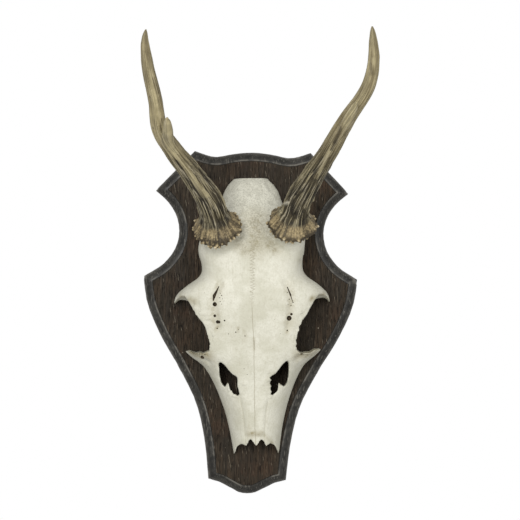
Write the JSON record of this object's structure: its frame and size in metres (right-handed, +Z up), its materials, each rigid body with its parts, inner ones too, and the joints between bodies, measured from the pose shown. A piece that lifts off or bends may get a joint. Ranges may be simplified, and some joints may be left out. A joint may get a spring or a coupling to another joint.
{
  "type": "antler mounting plaque",
  "caption": "Roe buck skull, sawn flat at the back, with its antlers, fixed to a dark oak shield with a blackened moulded edge; hangs flat on a wall.",
  "frame": {"origin": "on the flat back of the board, in the middle of the board's height and width, where it meets the wall", "axes": "+Y out of the board's back, into the wall; +Z up, towards the antlers' tips; +X to the right as seen from the room"},
  "size_m": [0.1339, 0.1472, 0.27],
  "materials": {
    "oak": "dark stained oak with vertical grain and a worn, blackened moulding, satin",
    "bone": "bleached bone, cream white with grey and olive mottling, matt to satin",
    "antler": "furrowed grey-brown antler, paler and smoother towards the tips, with a pearled tan burr"
  },
  "bodies": {
    "root": {"board": "oak", "skull": "bone", "antler_left": "antler", "antler_right": "antler"}
  },
  "joints": []
}
